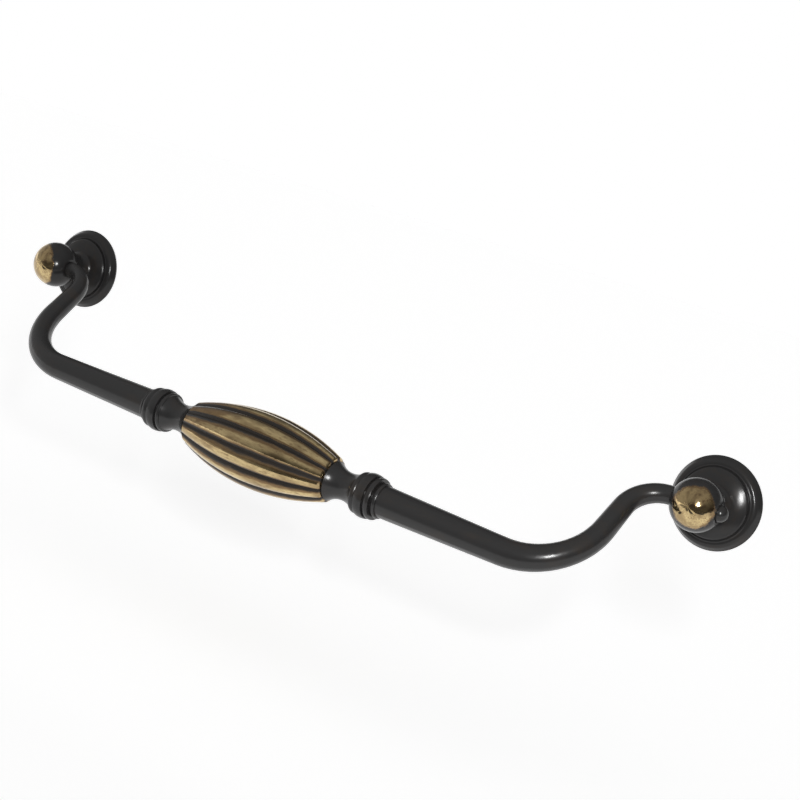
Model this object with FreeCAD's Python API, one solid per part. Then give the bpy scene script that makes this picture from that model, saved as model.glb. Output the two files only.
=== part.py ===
import FreeCAD, Part
import math
import os

# Bail pull. X runs along the pivot line, -Y points away from the drawer front and +Z is up.
# The origin is midway between the two posts on the plane of the rosette backs.
# The bail is swung out from the drawer front. All sizes are in millimetres.

# Whole pull
centre_distance = 224.0
pivot_height = 15.0
swing_deg = 48.0

# Post: rosette, neck and ball
rosette_diameter = 25.0
rosette_edge = 0.6
back_edge_break = 0.2
rim_width = 2.1
rim_height = 2.6
rim_shoulder_height = 1.9
rim_shoulder_inset = 0.84
rim_flat = 0.25
rosette_ridge_width = 0.6
rosette_ridge_rise = 0.14
rosette_groove_width = 0.2
rosette_groove_depth = 0.15
disc_height = 3.44
disc_chamfer = 0.3
dome_slope_deg = 26.0
dome_height = 4.63
flare_foot_diameter = 10.4
flare_length = 2.3
neck_diameter = 8.0
ball_diameter = 14.0
ball_across_flats = 12.4
screw_hole_diameter = 3.3
screw_hole_depth = 9.0
drill_point_deg = 118.0
bore_chamfer = 0.25

# Pivot
pin_diameter = 4.4
pin_clearance = 0.07
pin_tip_reach = 2.4
pin_tip_dome = 2.2
pin_root = 0.5
shoulder_gap = 0.3

# Arms
bail_drop = 36.0
arm_end_diameter = 5.0
arm_foot_diameter = 7.5
arm_grip_diameter = 8.8
upper_bend_radius = 9.5
lower_bend_radius = 19.0
bend_deg = 87.0

# Collars, outward from the barrel
lip_diameter = 11.0
lip_gap = 0.35
lip_gap_diameter = 9.8
neck_run_diameter = 7.75
neck_cove_radius = 7.0
bead_width = 1.3
bead_diameter = 11.5
cushion_width = 2.6
cushion_diameter = 12.4
middle_ring_width = 1.5
middle_ring_diameter = 11.6
end_ring_width = 1.2
end_ring_diameter = 9.8
groove_width = 0.35
groove_depth = 0.55
ring_crown = 0.22

# Barrel grip
barrel_length = 48.0
barrel_diameter = 21.7
barrel_end_diameter = 12.4
rib_count = 12
rib_roundness = 0.30
rib_end_round = 1.6
rib_end_meets_deg = 55.0
rib_end_past_deg = 17.0
barrel_sections = 5

PLUS_X = FreeCAD.Vector(1, 0, 0)
PLUS_Y = FreeCAD.Vector(0, 1, 0)
PLUS_Z = FreeCAD.Vector(0, 0, 1)
ORIGIN = FreeCAD.Vector(0, 0, 0)

post_x = centre_distance / 2
flat_x = ball_across_flats / 2
bore_radius = pin_diameter / 2 + pin_clearance
pivot_centre = FreeCAD.Vector(0, -pivot_height, 0)


def arc_middle(start, leaving, end):
    """The middle of the arc that leaves start in a unit heading and ends at end."""
    chord = end - start
    toward_middle = leaving + chord / chord.Length
    toward_middle.normalize()
    return start + toward_middle * (chord.Length ** 2 / 2 / toward_middle.dot(chord))


class Outline:
    """A pen that draws lines and arcs in a plane that holds the turning axis."""

    def __init__(self, along, out, start):
        self.along = along
        self.out = out
        self.start = self.place(start)
        self.here = self.start
        self.edges = []

    def place(self, point):
        return self.along * point[0] + self.out * point[1]

    def line(self, point):
        end = self.place(point)
        self.edges.append(Part.LineSegment(self.here, end).toShape())
        self.here = end

    def arc(self, middle, point):
        end = self.place(point)
        self.edges.append(Part.Arc(self.here, self.place(middle), end).toShape())
        self.here = end

    def bend(self, leaving, point):
        """An arc that leaves in a heading and ends at a point."""
        end = self.place(point)
        middle = arc_middle(self.here, self.place(leaving), end)
        self.edges.append(Part.Arc(self.here, middle, end).toShape())
        self.here = end

    def bend_into(self, arriving, point):
        """An arc that ends at a point in a heading."""
        end = self.place(point)
        middle = arc_middle(end, -self.place(arriving), self.here)
        self.edges.append(Part.Arc(self.here, middle, end).toShape())
        self.here = end

    def turned(self):
        """Closes the outline and turns it about the axis."""
        if self.here.distanceToPoint(self.start) > 1e-6:
            self.edges.append(Part.LineSegment(self.here, self.start).toShape())
        face = Part.Face(Part.Wire(self.edges))
        return face.revolve(ORIGIN, self.along, 360)


def post_blank():
    """The rosette, neck and ball as one turned solid on the Y axis."""
    edge = rosette_diameter / 2
    rim = edge - rim_width
    ridge = rim - rim_flat
    groove = ridge - rosette_ridge_width
    disc = groove - rosette_groove_width
    groove_floor = rim_height - rosette_groove_depth
    neck = neck_diameter / 2
    ball = ball_diameter / 2
    neck_top = pivot_height - math.sqrt(ball ** 2 - neck ** 2)
    dome_slope = math.radians(dome_slope_deg)
    inward = (0, -1)
    toward_ball = (1, 0)
    up_the_dome = (math.sin(dome_slope), -math.cos(dome_slope))
    pen = Outline(-PLUS_Y, PLUS_X, (0, 0))
    pen.line((0, edge - back_edge_break))
    pen.line((rosette_edge, edge))
    pen.line((rim_shoulder_height, edge - rim_shoulder_inset))
    pen.bend_into(inward, (rim_height, rim))
    pen.line((rim_height, ridge))
    pen.line((rim_height + rosette_ridge_rise, (ridge + groove) / 2))
    pen.line((rim_height, groove))
    pen.line((groove_floor, groove))
    pen.line((groove_floor, disc))
    pen.line((disc_height - disc_chamfer, disc))
    pen.line((disc_height, disc - disc_chamfer))
    pen.bend(up_the_dome, (dome_height, flare_foot_diameter / 2))
    pen.bend_into(toward_ball, (dome_height + flare_length, neck))
    pen.line((neck_top, neck))
    pen.arc((pivot_height, ball), (pivot_height + ball, 0))
    return pen.turned()


def screw_hole():
    """The tapped hole's wall with its drill point, up the back of the post."""
    radius = screw_hole_diameter / 2
    point = radius / math.tan(math.radians(drill_point_deg / 2))
    pen = Outline(-PLUS_Y, PLUS_X, (0, 0))
    pen.line((0, radius))
    pen.line((screw_hole_depth, radius))
    pen.line((screw_hole_depth + point, 0))
    return pen.turned()


def cross_bore():
    """The pivot bore through the ball, with a chamfer at each flat."""
    pen = Outline(PLUS_X, PLUS_Z, (-flat_x, 0))
    pen.line((-flat_x, bore_radius + bore_chamfer))
    pen.line((-flat_x + bore_chamfer, bore_radius))
    pen.line((flat_x - bore_chamfer, bore_radius))
    pen.line((flat_x, bore_radius + bore_chamfer))
    pen.line((flat_x, 0))
    bore = pen.turned()
    bore.translate(pivot_centre)
    return bore


def post():
    """One post: the blank with the flats, the cross bore and the screw hole cut in it."""
    body = post_blank()
    ball = ball_diameter / 2
    for side in (-1, 1):
        corner = FreeCAD.Vector(-ball / 2, -pivot_height - ball, -ball)
        waste = Part.makeBox(ball, 2 * ball, 2 * ball, corner)
        waste.translate(PLUS_X * side * (flat_x + ball / 2))
        body = body.cut(waste)
    return body.cut(screw_hole()).cut(cross_bore()).Solids[0]


def arm_path():
    """The arm's centre line from pivot to grip: points on it, and the arcs' middles."""
    bend = math.radians(bend_deg)
    run_in = post_x - flat_x - shoulder_gap
    rise = (upper_bend_radius + lower_bend_radius) * (1 - math.cos(bend))
    straight = (bail_drop - rise) / math.sin(bend)

    def upper(angle):
        dropped = upper_bend_radius * (1 - math.cos(angle))
        return (run_in - upper_bend_radius * math.sin(angle), dropped)

    bend_end = upper(bend)
    x = bend_end[0] - straight * math.cos(bend)
    drop = bend_end[1] + straight * math.sin(bend)
    foot_x = x - lower_bend_radius * math.sin(bend)

    def lower(angle):
        left_to_drop = lower_bend_radius * (1 - math.cos(angle))
        return (foot_x + lower_bend_radius * math.sin(angle), bail_drop - left_to_drop)

    return {
        "start": (run_in, 0),
        "upper middle": upper(bend / 2),
        "upper end": bend_end,
        "lower start": (x, drop),
        "lower middle": lower(bend / 2),
        "foot": lower(0),
        "end": (collar_end_x() - end_ring_width / 2, bail_drop),
    }


def in_bail_plane(point):
    """A point of the bail's own plane, given as distance along X and drop, hanging straight down."""
    return FreeCAD.Vector(point[0], 0, -point[1])


def arm_section(point, heading, radius):
    """A circle across the arm's centre line."""
    circle = Part.Circle(in_bail_plane(point), heading, radius)
    return Part.Wire(circle.toShape())


def arm():
    """The tapered swan-neck arm on the +X side: a sweep through both bends, and a cone to the collar."""
    path = arm_path()
    points = {name: in_bail_plane(point) for name, point in path.items()}
    spine = Part.Wire([
        Part.Arc(points["start"], points["upper middle"], points["upper end"]).toShape(),
        Part.LineSegment(points["upper end"], points["lower start"]).toShape(),
        Part.Arc(points["lower start"], points["lower middle"], points["foot"]).toShape(),
    ])
    bend = math.radians(bend_deg)
    down = FreeCAD.Vector(-math.cos(bend), 0, -math.sin(bend))
    arc_lengths = [upper_bend_radius * bend, points["upper end"].distanceToPoint(points["lower start"])]
    bent = sum(arc_lengths) + lower_bend_radius * bend
    taper = (arm_foot_diameter - arm_end_diameter) / bent
    sweep = Part.BRepOffsetAPI.MakePipeShell(spine)
    sections = [
        ("start", -PLUS_X, arm_end_diameter),
        ("upper end", down, arm_end_diameter + taper * arc_lengths[0]),
        ("lower start", down, arm_end_diameter + taper * sum(arc_lengths)),
        ("foot", -PLUS_X, arm_foot_diameter),
    ]
    for name, heading, diameter in sections:
        sweep.add(arm_section(path[name], heading, diameter / 2), False, False)
    sweep.build()
    sweep.makeSolid()
    run = points["foot"].distanceToPoint(points["end"])
    foot_radius = arm_foot_diameter / 2
    grip_radius = arm_grip_diameter / 2
    straight = Part.makeCone(foot_radius, grip_radius, run, points["foot"], -PLUS_X)
    return sweep.shape().fuse(straight)


def pin():
    """The round pin on the +X side that passes through the ball and ends in a low dome."""
    radius = pin_diameter / 2
    start = post_x - flat_x - shoulder_gap
    tip = post_x + flat_x + pin_tip_reach
    root = start - pin_root
    pen = Outline(PLUS_X, PLUS_Z, (tip, 0))
    pen.bend((0, 1), (tip - pin_tip_dome, radius))
    pen.line((root, radius))
    pen.line((root, 0))
    return pen.turned()


def collar_end_x():
    """Where the collar's last ring ends and the plain arm begins."""
    return collar_rings()[-1][1]


def neck_middle_x():
    """The thinnest place of the neck, set by where the cove meets the lip."""
    drop = (lip_diameter - neck_run_diameter) / 2
    reach = math.sqrt(neck_cove_radius ** 2 - (neck_cove_radius - drop) ** 2)
    return barrel_length / 2 + lip_gap + reach


def collar_rings():
    """Start, end and radius of each ring of the collar, outward from the neck."""
    bead_foot = bead_diameter / 2 - groove_depth
    drop = bead_foot - neck_run_diameter / 2
    start = neck_middle_x() + math.sqrt(neck_cove_radius ** 2 - (neck_cove_radius - drop) ** 2)
    rings = []
    widths = [
        (bead_width, bead_diameter),
        (cushion_width, cushion_diameter),
        (middle_ring_width, middle_ring_diameter),
        (end_ring_width, end_ring_diameter),
    ]
    for width, diameter in widths:
        rings.append((start, start + width, diameter / 2))
        start += width + groove_width
    return rings


def collar():
    """The turned collar on the +X side, with the core that runs to the middle of the grip."""
    core = lip_gap_diameter / 2
    lip_x = barrel_length / 2 + lip_gap
    rings = collar_rings()
    neck = neck_run_diameter / 2
    pen = Outline(PLUS_X, PLUS_Z, (0, 0))
    pen.line((0, core))
    pen.line((lip_x, core))
    pen.line((lip_x, lip_diameter / 2))
    first_start, first_end, first_radius = rings[0]
    pen.arc((neck_middle_x(), neck), (first_start, first_radius - groove_depth))
    for index, (start, end, radius) in enumerate(rings):
        shoulder = radius - ring_crown
        pen.line((start, shoulder))
        pen.arc(((start + end) / 2, radius), (end, shoulder))
        if index + 1 < len(rings):
            bottom = min(radius, rings[index + 1][2]) - groove_depth
            pen.line((end, bottom))
            pen.line((rings[index + 1][0], bottom))
    pen.line((rings[-1][1], 0))
    return pen.turned()


def rib_section(x, radius):
    """The barrel's section at x: round-topped ribs that meet in valleys, each one a cubic curve."""
    half_pitch = math.pi / rib_count
    rib = rib_roundness * radius
    centre = radius - rib
    half_width = centre * math.sin(half_pitch)
    valley = centre * math.cos(half_pitch) + math.sqrt(rib ** 2 - half_width ** 2)
    sweep = math.asin(valley * math.sin(half_pitch) / rib)
    handle = 4 / 3 * math.tan(sweep / 2) * rib
    side = FreeCAD.Vector(0, rib * math.sin(sweep), -centre - rib * math.cos(sweep))
    toward_top = FreeCAD.Vector(0, -math.cos(sweep), -math.sin(sweep)) * handle
    left = side + toward_top
    top_rib = [side, left, mirrored(left), mirrored(side)]
    edges = []
    for index in range(rib_count):
        turn = FreeCAD.Rotation(PLUS_X, -360 * index / rib_count)
        curve = Part.BezierCurve()
        curve.setPoles([turn.multVec(pole) + PLUS_X * x for pole in top_rib])
        edges.append(curve.toShape())
    return Part.Wire(edges)


def mirrored(place):
    """The same place on the other side of the XZ plane."""
    return FreeCAD.Vector(place.x, -place.y, place.z)


def barrel_arc_radius():
    """The radius of the arc that gives the barrel its swell."""
    rise = (barrel_diameter - barrel_end_diameter) / 2
    return ((barrel_length / 2) ** 2 + rise ** 2) / (2 * rise)


def barrel_radius(x):
    """The crest radius at distance x from the middle of the barrel."""
    swell = barrel_arc_radius()
    return barrel_diameter / 2 - swell + math.sqrt(swell ** 2 - x ** 2)


def rib_end_cutter():
    """What is turned off the +X end of the barrel to round the ends of the ribs."""
    reach = barrel_length / 2
    meets = math.radians(rib_end_meets_deg)
    clear = meets + math.radians(rib_end_past_deg)
    middle_x = reach - rib_end_round
    crest = barrel_radius(middle_x + rib_end_round * math.cos(meets))
    middle_radius = crest - rib_end_round * math.sin(meets)

    def on_round(angle):
        x = middle_x + rib_end_round * math.cos(angle)
        return (x, middle_radius + rib_end_round * math.sin(angle))

    start = on_round(clear)
    pen = Outline(PLUS_X, PLUS_Z, start)
    pen.arc(on_round(clear / 2), on_round(0))
    pen.line((reach + 1, middle_radius))
    pen.line((reach + 1, barrel_diameter))
    pen.line((start[0], barrel_diameter))
    return pen.turned()


def barrel():
    """The ribbed barrel: ribbed sections lofted end to end, with the ends of the ribs turned round."""
    reach = barrel_length / 2
    places = [reach * (2 * index / (barrel_sections - 1) - 1) for index in range(barrel_sections)]
    ribbed = Part.makeLoft([rib_section(x, barrel_radius(x)) for x in places], True, False)
    cutter = rib_end_cutter()
    return ribbed.cut([cutter, cutter.mirror(ORIGIN, PLUS_X)])


def bail():
    """The whole bail, drawn hanging from the pivot line and then swung out."""
    grip = barrel()
    side = collar()
    grip = grip.fuse([side, side.mirror(ORIGIN, PLUS_X)])
    grip.translate(in_bail_plane((0, bail_drop)))
    limb = arm().fuse(pin())
    whole = grip.fuse([limb, limb.mirror(ORIGIN, PLUS_X)]).Solids[0]
    whole.rotate(ORIGIN, PLUS_X, -swing_deg)
    whole.translate(pivot_centre)
    return whole


def main():
    os.makedirs("parts", exist_ok=True)
    single_post = post()
    nodes = {"bail": bail()}
    for name, side in (("left_post", -1), ("right_post", 1)):
        placed = single_post.copy()
        placed.translate(PLUS_X * side * post_x)
        nodes[name] = placed
    for name, shape in nodes.items():
        shape.exportStep(f"parts/{name}.step")
        box = shape.optimalBoundingBox()
        print(name, shape.isValid(), len(shape.Solids), round(shape.Volume, 1), box)


main()
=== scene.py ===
import math

import bpy
from mathutils import Matrix, Vector


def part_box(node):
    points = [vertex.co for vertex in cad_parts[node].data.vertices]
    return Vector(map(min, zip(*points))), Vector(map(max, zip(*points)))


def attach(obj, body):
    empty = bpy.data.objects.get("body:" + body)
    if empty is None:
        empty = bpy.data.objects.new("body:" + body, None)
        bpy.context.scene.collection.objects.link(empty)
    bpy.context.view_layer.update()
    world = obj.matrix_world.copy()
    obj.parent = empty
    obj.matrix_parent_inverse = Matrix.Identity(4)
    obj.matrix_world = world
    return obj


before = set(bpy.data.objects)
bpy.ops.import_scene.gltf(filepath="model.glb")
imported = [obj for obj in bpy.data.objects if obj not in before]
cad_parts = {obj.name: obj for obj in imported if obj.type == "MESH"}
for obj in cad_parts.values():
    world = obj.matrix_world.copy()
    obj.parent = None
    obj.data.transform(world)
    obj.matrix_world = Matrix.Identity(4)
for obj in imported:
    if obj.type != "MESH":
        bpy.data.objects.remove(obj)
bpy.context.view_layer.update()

# Antique bail pull with a ribbed barrel grip, swung out from its two posts.
# Metres, in the frame of the solids: X along the pivot line, -Y away from the drawer front, +Z up.

# The pull's own sizes
SWING = math.radians(48)
PIVOT_Y = -0.015
GRIP_DROP = 0.036
BALL_RADIUS = 0.007
RIB_COUNT = 12
BARREL_HALF = 0.024

# The threads in the posts' tapped holes
HOLE_RADIUS = 0.00165
THREAD_PITCH = 0.0007
THREAD_TURNS = 11.0
THREAD_RIDGE = 0.00022
THREAD_START = 0.0004
THREAD_STEPS = 20
RIDGE_SIDES = 3
THREAD_TARNISH = 0.3

# Colours of the lacquer and of the brass under it
LACQUER = (0.0215, 0.021, 0.021, 1)
LACQUER_BROWN = (0.027, 0.0225, 0.0195, 1)
# Painted shade: the darker lacquer put in the rib valleys, where the ribs shade each other
LACQUER_VALLEY_SHADE = (0.014, 0.0105, 0.008, 1)
BRASS = (0.75, 0.585, 0.30, 1)
BRASS_BROWN = (0.25, 0.16, 0.075, 1)
BRASS_STAIN = (0.11, 0.06, 0.03, 1)

# How far specks and blotches move the rubbed edge, and the bands of noise that turn brown or dark
SPECK_EDGE = 0.6
BLOTCH_EDGE = 1.2
PATINA_BAND = (0.40, 0.62)
SPECK_BAND = (0.42, 0.72)
SPECK_BROWN = 0.7
STAIN_BAND = (0.42, 0.68)
LACQUER_BAND = (0.45, 0.75)
BROWN_RIM = 0.35

# Gloss and relief: blotches dull the surface and so does the painted shade in the rib valleys; bare brass
# is smoother and the lacquer fills some of the casting's relief
BLOTCH_DULLS = 0.10
VALLEY_SHADE_DULLS = 0.25
BRASS_SMOOTHER = 0.09
COAT_ROUGHNESS = 0.12
RELIEF = 0.0002
PIT_SHARE = 0.03
FILLED_RELIEF = 0.25

# The brushed grain: how it is drawn out along the bail, and how it runs in rings around a post
BAIL_GRAIN = (0.28, 1.0, 1.0)
RING_GRAIN = 0.005
RING_DEPTH = 0.5

# Rubbing on a rib, by its place above the crest in rib pitches: a slope and its value at the crest. The
# upper flank's softer, browner edge is partly painted shade, for the dim room that flank mirrors
UPPER_SIDE = (-2.3, 1.18)
LOWER_SIDE = (5.0, 2.25)
# Where the painted valley shade sets in, by the distance from the crest in rib pitches
VALLEY_BAND = (0.28, 0.42)
BARREL_EDGE = 0.0002

# Where the barrel kept more of its lacquer: toward its upper left
KEPT_TOWARD = (-0.5, 0.0, 0.87)
KEPT_BAND = (0.2, 0.95)
KEPT_SHARE = 0.45

# The brushed-off patch on each ball, in degrees: how far it leans to +X and downward, how far it
# reaches from its middle and how softly it ends
LEFT_PATCH = {"lean": -30.0, "dip": 8.0, "reach": 66.0, "fade": 8.0}
RIGHT_PATCH = {"lean": 11.0, "dip": 1.0, "reach": 49.5, "fade": 11.5}
BALL_EDGE = BALL_RADIUS + 0.0006
BALL_EDGE_FADE = 0.0003
# Painted shade: the top of each ball is browner and more stained than its bottom, for the dim room it
# mirrors
BALL_TOP_SHADE_BAND = (-0.45, 0.1)
BALL_LOWER_TARNISH = 0.25
BALL_TOP_SHADE = 0.6

# The values of each finish; those with a capital go to the rubbed brass group by name
GRIP_FINISH = {
    "bump": 0.25,
    "wave_scale": 160.0,
    "shine": 0.38,
    "Edge_Softness": 0.2,
    "Raggedness": 0.5,
    "Patina": 0.6,
    "Stain": 0.45,
    "Polish": 0.19,
    "Speck_Scale": 1500.0,
    "Blotch_Scale": 260.0,
    "Stain_Scale": 420.0,
}
BALL_FINISH = {
    "bump": 0.7,
    "wave_scale": 420.0,
    "shine": 0.28,
    "Edge_Softness": 0.16,
    "Raggedness": 1.1,
    "Patina": 0.6,
    "Stain": 0.9,
    "Polish": 0.15,
    "Speck_Scale": 2600.0,
    "Blotch_Scale": 330.0,
    "Stain_Scale": 210.0,
}
THREAD_FINISH = {**BALL_FINISH, "bump": 0.2, "wave_scale": 650.0, "shine": 0.4}

# The table and the room that the metal mirrors, by height over the table's horizon
TABLE_UP = (0.0, -0.47, 0.88)
TABLE_WHITE = 0.92
TABLE_EDGE = (-0.01, 0.02)
HORIZON_DARK = 0.06
ROOM_FRONT = 0.12
ROOM_FRONT_BAND = (0.02, 0.30)
ROOM_TOP = 0.45
ROOM_TOP_BAND = (0.30, 1.0)
SIDE_TOWARD = (-0.93, -0.33, 0.17)
SIDE_BAND = (0.45, 0.95)
SIDE_GLOW = 0.5
SIDE_STRIP = 2.2
SIDE_STRIP_BAND = (0.10, 0.03)

# Floor and lamp
FLOOR_SIZE = 8.0
FLOOR_HEIGHT = -0.075
FLOOR_COLOUR = 0.95
FLOOR_LIFT = 0.65
FLASH_PLACE = Vector((0.27, -0.41, 0.11))
FLASH_TARGET = Vector((0, -0.02, -0.01))
FLASH_AIM = (FLASH_TARGET - FLASH_PLACE).normalized()
FLASH_WIDTH = 0.023
FLASH_TALL = 0.1
FLASH_WATTS = 1.4

# Camera
AIM = Vector((0.02079, -0.01324, -0.00196))
CAMERA_AZIMUTH = math.radians(29.08)
CAMERA_ELEVATION = math.radians(7.80)
CAMERA_ROLL = math.radians(16.37)
CAMERA_DISTANCE = 0.4525
LENS_MM = 72.96
SENSOR_MM = 36.0

# Places that follow from these sizes and from the frame
outward = Vector((0, -math.sin(SWING), -math.cos(SWING)))
grip_axis = Vector((0, PIVOT_Y, 0)) + outward * GRIP_DROP
left_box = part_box("left_post")
right_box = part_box("right_post")
left_ball = Vector(((left_box[0].x + left_box[1].x) / 2, PIVOT_Y, 0))
right_ball = Vector(((right_box[0].x + right_box[1].x) / 2, PIVOT_Y, 0))

# Layout of the node trees, and the kinds of socket in them
NODE_WIDTH = 190
NODE_HEIGHT = 160
NODE_ROWS = 5
FLOAT = "NodeSocketFloat"
COLOUR = "NodeSocketColor"
VECTOR = "NodeSocketVector"
WHOLE = "NodeSocketInt"
GEOMETRY = "NodeSocketGeometry"
MATERIAL = "NodeSocketMaterial"


class Nodes:
    """Adds nodes to a tree and links them, left to right."""

    def __init__(self, tree):
        self.tree = tree
        self.count = 0

    def add(self, kind, **settings):
        node = self.tree.nodes.new(kind)
        node.location = (self.count * NODE_WIDTH, -(self.count % NODE_ROWS) * NODE_HEIGHT)
        self.count += 1
        for key, value in settings.items():
            setattr(node, key, value)
        return node

    def feed(self, socket, value):
        """Link another node's output to the socket, or set a plain value on it."""
        if isinstance(value, bpy.types.NodeSocket):
            self.tree.links.new(value, socket)
        else:
            socket.default_value = value

    def maths(self, operation, *values, clamp=False):
        node = self.add("ShaderNodeMath", operation=operation, use_clamp=clamp)
        for socket, value in zip(node.inputs, values):
            self.feed(socket, value)
        return node.outputs[0]

    def vector(self, operation, *values):
        node = self.add("ShaderNodeVectorMath", operation=operation)
        for socket, value in zip(node.inputs, values):
            self.feed(socket, value)
        return node.outputs["Value" if operation in ("DOT_PRODUCT", "LENGTH") else "Vector"]

    def smooth(self, value, low, high):
        """0 at low and 1 at high, with a soft step between; low may be the larger."""
        node = self.add("ShaderNodeMapRange", interpolation_type="SMOOTHSTEP")
        self.feed(node.inputs["Value"], value)
        self.feed(node.inputs["From Min"], low)
        self.feed(node.inputs["From Max"], high)
        return node.outputs["Result"]

    def noise(self, place, scale, detail, roughness):
        node = self.add("ShaderNodeTexNoise")
        self.feed(node.inputs["Vector"], place)
        self.feed(node.inputs["Scale"], scale)
        self.feed(node.inputs["Detail"], detail)
        self.feed(node.inputs["Roughness"], roughness)
        return node.outputs["Fac"]

    def centred(self, noise, strength):
        """Noise turned to a push both ways, by up to half the strength."""
        return self.maths("MULTIPLY_ADD", noise, strength, -strength / 2)

    def mix(self, share, first, second):
        """A blend of two colours, for which the mix node has sockets 6 and 7 and output 2."""
        node = self.add("ShaderNodeMix", data_type="RGBA")
        self.feed(node.inputs[0], share)
        self.feed(node.inputs[6], first)
        self.feed(node.inputs[7], second)
        return node.outputs[2]


def group(name, kind, inputs, outputs):
    """An empty node group: its tree, its nodes and its inputs. None leaves an input to be set in use."""
    tree = bpy.data.node_groups.new(name, kind)
    for label, socket_kind, value in inputs:
        socket = tree.interface.new_socket(name=label, in_out="INPUT", socket_type=socket_kind)
        if value is not None:
            socket.default_value = value
    for label, socket_kind in outputs:
        tree.interface.new_socket(name=label, in_out="OUTPUT", socket_type=socket_kind)
    nodes = Nodes(tree)
    given = nodes.add("NodeGroupInput").outputs
    return tree, nodes, given


def place_group(nodes, tree, **values):
    """The group in a material, with its inputs set by name (underscores for spaces)."""
    node = nodes.add("ShaderNodeGroup", node_tree=tree)
    for label, value in values.items():
        nodes.feed(node.inputs[label.replace("_", " ")], value)
    return node.outputs


def cleared(owner):
    """The emptied node tree of a new material or world."""
    owner.use_nodes = True
    owner.node_tree.nodes.clear()
    return Nodes(owner.node_tree)


def grey(level):
    """A colour with the same level of red, green and blue."""
    return (level, level, level, 1)


def rubbed_brass_group():
    """Brass where the lacquer was brushed off: ragged at its edge, specked, and brown in blotches."""
    tree, nodes, given = group(
        "rubbed_brass",
        "ShaderNodeTree",
        [
            ("Place", VECTOR, None),
            ("Rubbed", FLOAT, None),
            # Painted shade: how much darker and duller the lacquer is, as in the rib valleys
            ("Grime", FLOAT, 0.0),
            ("Tarnish", FLOAT, 1.0),
            # Painted shade: how much browner the brass is, as on top of the balls
            ("Aged", FLOAT, 0.0),
            ("Edge Softness", FLOAT, None),
            ("Raggedness", FLOAT, None),
            ("Patina", FLOAT, None),
            ("Stain", FLOAT, None),
            ("Speck Scale", FLOAT, None),
            ("Blotch Scale", FLOAT, None),
            ("Stain Scale", FLOAT, None),
            ("Polish", FLOAT, None),
            ("Clear Coat", FLOAT, 0.3),
        ],
        [("Colour", COLOUR), ("Metal", FLOAT), ("Roughness", FLOAT), ("Coat", FLOAT)],
    )
    specks = nodes.noise(given["Place"], given["Speck Scale"], detail=2.0, roughness=0.6)
    blotches = nodes.noise(given["Place"], given["Blotch Scale"], detail=4.0, roughness=0.6)
    uneven = nodes.maths("ADD", nodes.centred(specks, SPECK_EDGE), nodes.centred(blotches, BLOTCH_EDGE))
    ragged = nodes.maths("MULTIPLY_ADD", uneven, given["Raggedness"], given["Rubbed"])
    low = nodes.maths("SUBTRACT", 0.5, given["Edge Softness"])
    high = nodes.maths("ADD", 0.5, given["Edge Softness"])
    shows = nodes.smooth(ragged, low, high)

    patina = nodes.maths("MULTIPLY", nodes.smooth(blotches, *PATINA_BAND), given["Patina"], clamp=True)
    speckled = nodes.maths("MULTIPLY", nodes.smooth(specks, *SPECK_BAND), SPECK_BROWN)
    half_rubbed = nodes.smooth(ragged, nodes.maths("ADD", high, BROWN_RIM), high)
    brown = nodes.maths("MAXIMUM", nodes.maths("MAXIMUM", patina, speckled), half_rubbed)
    # Painted shade: browner brass where the top shade is set
    brown = nodes.maths("MAXIMUM", brown, given["Aged"])
    brass = nodes.mix(brown, BRASS, BRASS_BROWN)
    stain_noise = nodes.noise(given["Place"], given["Stain Scale"], detail=3.0, roughness=0.6)
    stains = nodes.maths("MULTIPLY", nodes.smooth(stain_noise, *STAIN_BAND), given["Stain"])
    brass = nodes.mix(nodes.maths("MULTIPLY", stains, given["Tarnish"]), brass, BRASS_STAIN)

    lacquer = nodes.mix(nodes.smooth(blotches, *LACQUER_BAND), LACQUER, LACQUER_BROWN)
    # Painted shade: darker lacquer where the valley shade is set
    lacquer = nodes.mix(given["Grime"], lacquer, LACQUER_VALLEY_SHADE)

    dulled = nodes.maths("MULTIPLY_ADD", blotches, BLOTCH_DULLS, given["Polish"])
    # The painted valley shade also dulls the gloss
    dulled = nodes.maths("MULTIPLY_ADD", given["Grime"], VALLEY_SHADE_DULLS, dulled)
    out = nodes.add("NodeGroupOutput").inputs
    nodes.feed(out["Colour"], nodes.mix(shows, lacquer, brass))
    nodes.feed(out["Metal"], shows)
    nodes.feed(out["Roughness"], nodes.maths("MULTIPLY_ADD", shows, -BRASS_SMOOTHER, dulled))
    nodes.feed(out["Coat"], nodes.maths("MULTIPLY", shows, given["Clear Coat"]))
    return tree


def cast_skin_group():
    """The slight waviness and fine pits of a polished casting, as a height."""
    tree, nodes, given = group(
        "cast_skin",
        "ShaderNodeTree",
        [("Place", VECTOR, None), ("Wave Scale", FLOAT, None), ("Pit Scale", FLOAT, 1800.0)],
        [("Height", FLOAT)],
    )
    waves = nodes.noise(given["Place"], given["Wave Scale"], detail=1.0, roughness=0.4)
    pits = nodes.noise(given["Place"], given["Pit Scale"], detail=2.0, roughness=0.6)
    out = nodes.add("NodeGroupOutput").inputs
    nodes.feed(out["Height"], nodes.maths("MULTIPLY_ADD", pits, PIT_SHARE, waves))
    return tree


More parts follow.
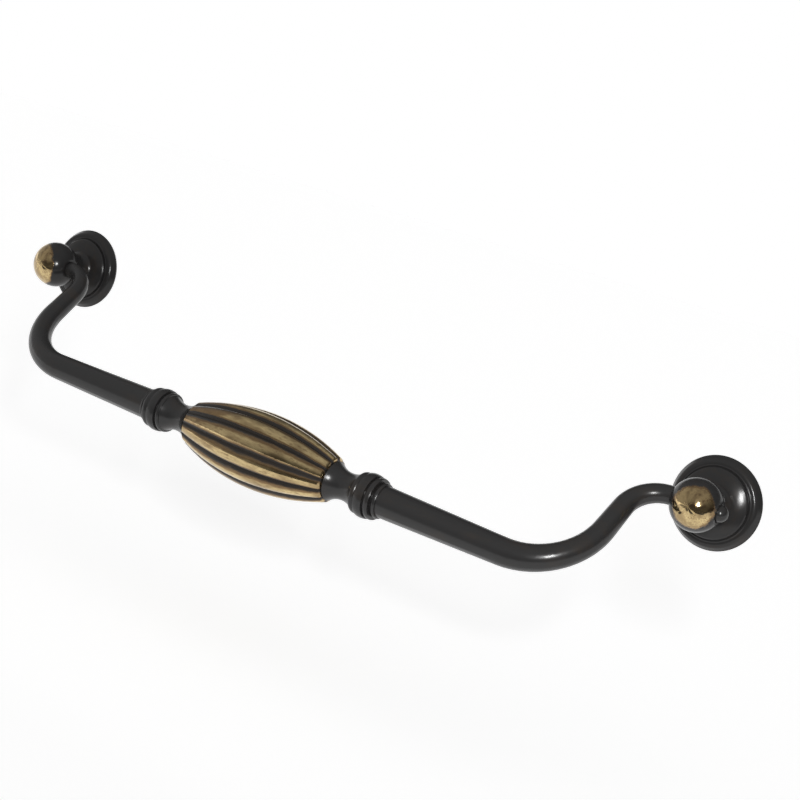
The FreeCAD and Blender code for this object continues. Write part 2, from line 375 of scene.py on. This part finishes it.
def finish_material(name, rubbed, grain_of, bump, wave_scale, shine, **finish_values):
    """The two-tone finish: rubbed gives where it's brushed off, and grain_of how its grain runs."""
    material = bpy.data.materials.new(name)
    nodes = cleared(material)
    place = nodes.add("ShaderNodeTexCoord").outputs["Object"]
    grain = grain_of(nodes, place)
    finish = place_group(nodes, brass_tree, Place=grain, **rubbed(nodes, place), **finish_values)
    skin = place_group(nodes, skin_tree, Place=grain, Wave_Scale=wave_scale)
    kept_relief = nodes.maths("MULTIPLY_ADD", finish["Metal"], 1 - FILLED_RELIEF, FILLED_RELIEF)
    bumps = nodes.add("ShaderNodeBump")
    bumps.inputs["Strength"].default_value = bump
    bumps.inputs["Distance"].default_value = RELIEF
    nodes.feed(bumps.inputs["Height"], nodes.maths("MULTIPLY", skin["Height"], kept_relief))
    shader = nodes.add("ShaderNodeBsdfPrincipled")
    nodes.feed(shader.inputs["Base Color"], finish["Colour"])
    nodes.feed(shader.inputs["Metallic"], finish["Metal"])
    nodes.feed(shader.inputs["Roughness"], finish["Roughness"])
    nodes.feed(shader.inputs["Coat Weight"], finish["Coat"])
    nodes.feed(shader.inputs["Normal"], bumps.outputs["Normal"])
    shader.inputs["Specular IOR Level"].default_value = shine
    shader.inputs["Coat Roughness"].default_value = COAT_ROUGHNESS
    nodes.feed(nodes.add("ShaderNodeOutputMaterial").inputs["Surface"], shader.outputs["BSDF"])
    return material


def dress(node, material):
    """The material on all of a CAD node."""
    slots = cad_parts[node].data.materials
    slots.clear()
    slots.append(material)


def brushed_along(nodes, place):
    """The grain of the bail, brushed along its length."""
    return nodes.vector("MULTIPLY", place, BAIL_GRAIN)


def rib_crests(nodes, place):
    """Brushed off the crests of the barrel's ribs only, less at its upper left; painted shade in the
    valleys.
    """
    from_axis = nodes.vector("SUBTRACT", place, tuple(grip_axis))
    across = outward.cross(Vector((1, 0, 0)))
    out = nodes.vector("DOT_PRODUCT", from_axis, tuple(outward))
    side = nodes.vector("DOT_PRODUCT", from_axis, tuple(across))
    along = nodes.vector("DOT_PRODUCT", from_axis, (1.0, 0.0, 0.0))
    pitches = nodes.maths("MULTIPLY", nodes.maths("ARCTAN2", side, out), RIB_COUNT / (2 * math.pi))
    above_crest = nodes.maths("SUBTRACT", pitches, nodes.maths("ROUND", pitches))
    # Partly painted shade: the upper flank's edge is softer, so its brown rim is wider
    soft_side = nodes.maths("MULTIPLY_ADD", above_crest, *UPPER_SIDE, clamp=True)
    sharp_side = nodes.maths("MULTIPLY_ADD", above_crest, *LOWER_SIDE, clamp=True)
    on_crest = nodes.maths("MINIMUM", soft_side, sharp_side)
    from_middle = nodes.maths("ABSOLUTE", along)
    on_barrel = nodes.smooth(from_middle, BARREL_HALF + BARREL_EDGE, BARREL_HALF - BARREL_EDGE)

    toward = nodes.vector("DOT_PRODUCT", nodes.vector("NORMALIZE", from_axis), KEPT_TOWARD)
    leftward = nodes.smooth(along, 0.0, -BARREL_HALF)
    kept = nodes.maths("MULTIPLY", nodes.smooth(toward, *KEPT_BAND), leftward)
    off = nodes.maths("MULTIPLY", nodes.maths("MULTIPLY_ADD", kept, -KEPT_SHARE, on_crest), on_barrel)
    # Painted shade in the valleys between the ribs: darker and duller lacquer
    in_valley = nodes.smooth(nodes.maths("ABSOLUTE", above_crest), *VALLEY_BAND)
    return {"Rubbed": off, "Grime": nodes.maths("MULTIPLY", in_valley, on_barrel)}


def dress_bail():
    """The bail, with brass showing on the barrel's ribs."""
    dress("bail", finish_material("ribbed_grip_finish", rib_crests, brushed_along, **GRIP_FINISH))


def turned_about(centre):
    """The grain of a turned post: rings around the axis through its ball."""

    def grain_of(nodes, place):
        from_centre = nodes.vector("SUBTRACT", place, tuple(centre))
        across = nodes.vector("MULTIPLY", from_centre, (1.0, 0.0, 1.0))
        around = nodes.vector("MULTIPLY", nodes.vector("NORMALIZE", across), (RING_GRAIN, 0.0, RING_GRAIN))
        deep = nodes.vector("MULTIPLY", from_centre, (0.0, RING_DEPTH, 0.0))
        rings = nodes.add("ShaderNodeCombineXYZ")
        nodes.feed(rings.inputs["Y"], nodes.vector("LENGTH", across))
        return nodes.vector("ADD", nodes.vector("ADD", around, deep), rings.outputs["Vector"])

    return grain_of


def ball_front(centre, patch):
    """Brushed off the front of a ball; its brown and stains are weighted to its upper half as painted
    shade.
    """
    lean = math.radians(patch["lean"])
    dip = math.radians(patch["dip"])
    level = math.cos(dip)
    middle = (math.sin(lean) * level, -math.cos(lean) * level, -math.sin(dip))
    inner = math.cos(math.radians(patch["reach"] - patch["fade"]))
    outer = math.cos(math.radians(patch["reach"] + patch["fade"]))

    def rubbed(nodes, place):
        from_centre = nodes.vector("SUBTRACT", place, tuple(centre))
        direction = nodes.vector("NORMALIZE", from_centre)
        facing = nodes.vector("DOT_PRODUCT", direction, middle)
        on_ball = nodes.smooth(nodes.vector("LENGTH", from_centre), BALL_EDGE, BALL_EDGE - BALL_EDGE_FADE)
        off = nodes.maths("MULTIPLY", nodes.smooth(facing, outer, inner), on_ball)
        # Painted shade: browner and more stained toward the top of the ball; the stains themselves are
        # real
        upward = nodes.vector("DOT_PRODUCT", direction, (0.0, 0.0, 1.0))
        upper = nodes.smooth(upward, *BALL_TOP_SHADE_BAND)
        stains_and_top_shade = nodes.maths("MULTIPLY_ADD", upper, 1 - BALL_LOWER_TARNISH, BALL_LOWER_TARNISH)
        return {"Rubbed": off, "Tarnish": stains_and_top_shade, "Aged": nodes.maths("MULTIPLY", upper, BALL_TOP_SHADE)}

    return rubbed


def dress_post(side, centre, patch):
    """The post on one side, with brass showing on the front of its ball."""
    name = side + "_ball_finish"
    finish = finish_material(name, ball_front(centre, patch), turned_about(centre), **BALL_FINISH)
    dress(side + "_post", finish)


def cut_thread(nodes, place):
    """Bare all over, as the tap leaves it."""
    return {"Rubbed": 1.0, "Tarnish": THREAD_TARNISH}


def screw_thread_tree():
    """A thread's ridge winding into the tapped hole in the back of each post."""
    tree, nodes, given = group(
        "screw_thread",
        "GeometryNodeTree",
        [
            ("Hole Radius", FLOAT, None),
            ("Pitch", FLOAT, None),
            ("Turns", FLOAT, None),
            ("Ridge", FLOAT, None),
            ("Start", FLOAT, None),
            ("Half Span", FLOAT, None),
            ("Steps a Turn", WHOLE, None),
            ("Finish", MATERIAL, None),
        ],
        [("Geometry", GEOMETRY)],
    )
    spiral = nodes.add("GeometryNodeCurveSpiral")
    nodes.feed(spiral.inputs["Resolution"], given["Steps a Turn"])
    nodes.feed(spiral.inputs["Rotations"], given["Turns"])
    nodes.feed(spiral.inputs["Start Radius"], given["Hole Radius"])
    nodes.feed(spiral.inputs["End Radius"], given["Hole Radius"])
    nodes.feed(spiral.inputs["Height"], nodes.maths("MULTIPLY", given["Pitch"], given["Turns"]))
    ridge = nodes.add("GeometryNodeCurvePrimitiveCircle", mode="RADIUS")
    ridge.inputs["Resolution"].default_value = RIDGE_SIDES
    nodes.feed(ridge.inputs["Radius"], given["Ridge"])
    swept = nodes.add("GeometryNodeCurveToMesh")
    nodes.feed(swept.inputs["Curve"], spiral.outputs["Curve"])
    nodes.feed(swept.inputs["Profile Curve"], ridge.outputs["Curve"])
    swept.inputs["Fill Caps"].default_value = True

    # The spiral stands along Z, so it is laid down along the hole
    inset = nodes.add("ShaderNodeCombineXYZ")
    nodes.feed(inset.inputs["Y"], nodes.maths("MULTIPLY", given["Start"], -1.0))
    laid = nodes.add("GeometryNodeTransform")
    nodes.feed(laid.inputs["Geometry"], swept.outputs["Mesh"])
    nodes.feed(laid.inputs["Translation"], inset.outputs["Vector"])
    laid.inputs["Rotation"].default_value = (math.pi / 2, 0.0, 0.0)

    # One copy in each post
    first = nodes.add("ShaderNodeCombineXYZ")
    nodes.feed(first.inputs["X"], nodes.maths("MULTIPLY", given["Half Span"], -1.0))
    step = nodes.add("ShaderNodeCombineXYZ")
    nodes.feed(step.inputs["X"], nodes.maths("MULTIPLY", given["Half Span"], 2.0))
    posts = nodes.add("GeometryNodeMeshLine", mode="OFFSET")
    posts.inputs["Count"].default_value = 2
    nodes.feed(posts.inputs["Start Location"], first.outputs["Vector"])
    nodes.feed(posts.inputs["Offset"], step.outputs["Vector"])
    placed = nodes.add("GeometryNodeInstanceOnPoints")
    nodes.feed(placed.inputs["Points"], posts.outputs["Mesh"])
    nodes.feed(placed.inputs["Instance"], laid.outputs["Geometry"])
    real = nodes.add("GeometryNodeRealizeInstances")
    nodes.feed(real.inputs["Geometry"], placed.outputs["Instances"])
    finish = nodes.add("GeometryNodeSetMaterial")
    nodes.feed(finish.inputs["Geometry"], real.outputs["Geometry"])
    nodes.feed(finish.inputs["Material"], given["Finish"])
    nodes.feed(nodes.add("NodeGroupOutput").inputs["Geometry"], finish.outputs["Geometry"])
    return tree


def built(name, tree, **values):
    """A plain mesh of what a geometry tree makes, with its inputs set by name (underscores for spaces)."""
    start = bpy.data.objects.new(name + "_start", bpy.data.meshes.new(name + "_start"))
    bpy.context.collection.objects.link(start)
    maker = start.modifiers.new("maker", "NODES")
    maker.node_group = tree
    for item in tree.interface.items_tree:
        label = item.name.replace(" ", "_")
        if item.in_out == "INPUT" and label in values:
            maker[item.identifier] = values[label]
    depsgraph = bpy.context.evaluated_depsgraph_get()
    mesh = bpy.data.meshes.new_from_object(start.evaluated_get(depsgraph))
    bpy.data.objects.remove(start)
    mesh.name = name
    piece = bpy.data.objects.new(name, mesh)
    bpy.context.collection.objects.link(piece)
    return piece


def screw_threads():
    """The threads in both posts' tapped holes, as one piece."""
    bare = finish_material("cut_thread", cut_thread, turned_about(left_ball), **THREAD_FINISH)
    thread = built(
        "screw_thread",
        screw_thread_tree(),
        Hole_Radius=HOLE_RADIUS,
        Pitch=THREAD_PITCH,
        Turns=THREAD_TURNS,
        Ridge=THREAD_RIDGE,
        Start=THREAD_START,
        Half_Span=right_ball.x,
        Steps_a_Turn=THREAD_STEPS,
        Finish=bare,
    )
    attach(thread, "posts")


def seen_mirrored(nodes, path):
    """1 on rays that come by way of a mirror-like surface or through glass."""
    return nodes.maths("MAXIMUM", path["Is Glossy Ray"], path["Is Transmission Ray"])


def flash_on_floor(nodes):
    """How light the flash makes the bare floor, by its distance and slant."""
    place = nodes.add("ShaderNodeNewGeometry").outputs["Position"]
    ray = nodes.vector("SUBTRACT", place, tuple(FLASH_PLACE))
    distance = nodes.vector("LENGTH", ray)
    ahead = nodes.maths("MAXIMUM", nodes.vector("DOT_PRODUCT", ray, tuple(FLASH_AIM)), 0.0)
    fallen = nodes.maths("DIVIDE", ahead, nodes.maths("POWER", distance, 4.0))
    strength = FLOOR_COLOUR * FLASH_WATTS * (FLASH_PLACE.z - FLOOR_HEIGHT) / math.pi**2
    return nodes.maths("MULTIPLY", fallen, strength)


def pale_floor():
    """A pale floor that keeps the shadow, lifted to the background's white where it is seen plainly."""
    bpy.ops.mesh.primitive_plane_add(size=FLOOR_SIZE, location=(0, 0, FLOOR_HEIGHT))
    floor = bpy.context.object
    floor.name = "floor"
    floor.visible_glossy = False
    material = bpy.data.materials.new("pale_floor")
    nodes = cleared(material)
    pale = nodes.add("ShaderNodeBsdfDiffuse")
    pale.inputs["Color"].default_value = grey(FLOOR_COLOUR)
    path = nodes.add("ShaderNodeLightPath").outputs
    plainly = nodes.maths("MAXIMUM", path["Is Camera Ray"], seen_mirrored(nodes, path))
    missing = nodes.maths("SUBTRACT", FLOOR_LIFT, flash_on_floor(nodes), clamp=True)
    lift = nodes.add("ShaderNodeEmission")
    nodes.feed(lift.inputs["Strength"], nodes.maths("MULTIPLY", plainly, missing))
    both = nodes.add("ShaderNodeAddShader")
    nodes.feed(both.inputs[0], pale.outputs[0])
    nodes.feed(both.inputs[1], lift.outputs[0])
    nodes.feed(nodes.add("ShaderNodeOutputMaterial").inputs["Surface"], both.outputs[0])
    floor.data.materials.append(material)


def studio_world():
    """A white table below its horizon and a dim room above it, with plain white behind for the camera."""
    world = bpy.data.worlds.new("studio")
    bpy.context.scene.world = world
    nodes = cleared(world)
    direction = nodes.add("ShaderNodeTexCoord").outputs["Generated"]
    height = nodes.vector("DOT_PRODUCT", direction, tuple(Vector(TABLE_UP).normalized()))
    room = nodes.mix(nodes.smooth(height, *ROOM_FRONT_BAND), grey(HORIZON_DARK), grey(ROOM_FRONT))
    room = nodes.mix(nodes.smooth(height, *ROOM_TOP_BAND), room, grey(ROOM_TOP))
    leftward = nodes.smooth(nodes.vector("DOT_PRODUCT", direction, SIDE_TOWARD), *SIDE_BAND)
    room = nodes.mix(leftward, room, grey(SIDE_GLOW))
    strip = nodes.maths("MULTIPLY", leftward, nodes.smooth(height, *SIDE_STRIP_BAND))
    room = nodes.mix(strip, room, grey(SIDE_STRIP))
    shade = nodes.mix(nodes.smooth(height, *TABLE_EDGE), grey(TABLE_WHITE), room)
    around = nodes.add("ShaderNodeBackground")
    nodes.feed(around.inputs["Color"], shade)
    white = nodes.add("ShaderNodeBackground")
    white.inputs["Color"].default_value = grey(1)
    below = nodes.maths("LESS_THAN", height, 0.0)
    path = nodes.add("ShaderNodeLightPath").outputs
    table_mirrored = nodes.maths("MULTIPLY", seen_mirrored(nodes, path), below)
    both = nodes.add("ShaderNodeMixShader")
    nodes.feed(both.inputs[0], nodes.maths("MAXIMUM", path["Is Camera Ray"], table_mirrored))
    nodes.feed(both.inputs[1], around.outputs[0])
    nodes.feed(both.inputs[2], white.outputs[0])
    nodes.feed(nodes.add("ShaderNodeOutputWorld").inputs["Surface"], both.outputs[0])


def flash():
    """The lamp beside the camera, whose small highlights the photograph shows."""
    data = bpy.data.lights.new("flash", "AREA")
    data.shape = "RECTANGLE"
    data.size = FLASH_WIDTH
    data.size_y = FLASH_TALL
    data.energy = FLASH_WATTS
    lamp = bpy.data.objects.new("flash", data)
    lamp.location = FLASH_PLACE
    lamp.rotation_euler = FLASH_AIM.to_track_quat("-Z", "Y").to_euler()
    bpy.context.collection.objects.link(lamp)


def photo_camera():
    """The camera at the photograph's angle, found from the outlines of the posts, arms and grip."""
    data = bpy.data.cameras.new("photo_camera")
    data.lens = LENS_MM
    data.sensor_width = SENSOR_MM
    data.clip_start = 0.01
    data.clip_end = 20.0
    camera = bpy.data.objects.new("photo_camera", data)
    level = math.cos(CAMERA_ELEVATION)
    back_x = math.sin(CAMERA_AZIMUTH) * level
    back_y = -math.cos(CAMERA_AZIMUTH) * level
    back = Vector((back_x, back_y, math.sin(CAMERA_ELEVATION)))
    turned = (-back).to_track_quat("-Z", "Y").to_matrix().to_4x4()
    standing = Matrix.Translation(AIM + back * CAMERA_DISTANCE)
    camera.matrix_world = standing @ turned @ Matrix.Rotation(CAMERA_ROLL, 4, "Z")
    bpy.context.collection.objects.link(camera)
    bpy.context.scene.camera = camera


brass_tree = rubbed_brass_group()
skin_tree = cast_skin_group()
dress_bail()
dress_post("left", left_ball, LEFT_PATCH)
dress_post("right", right_ball, RIGHT_PATCH)
screw_threads()

pale_floor()
studio_world()
flash()
photo_camera()
bpy.context.scene.view_settings.view_transform = "Standard"
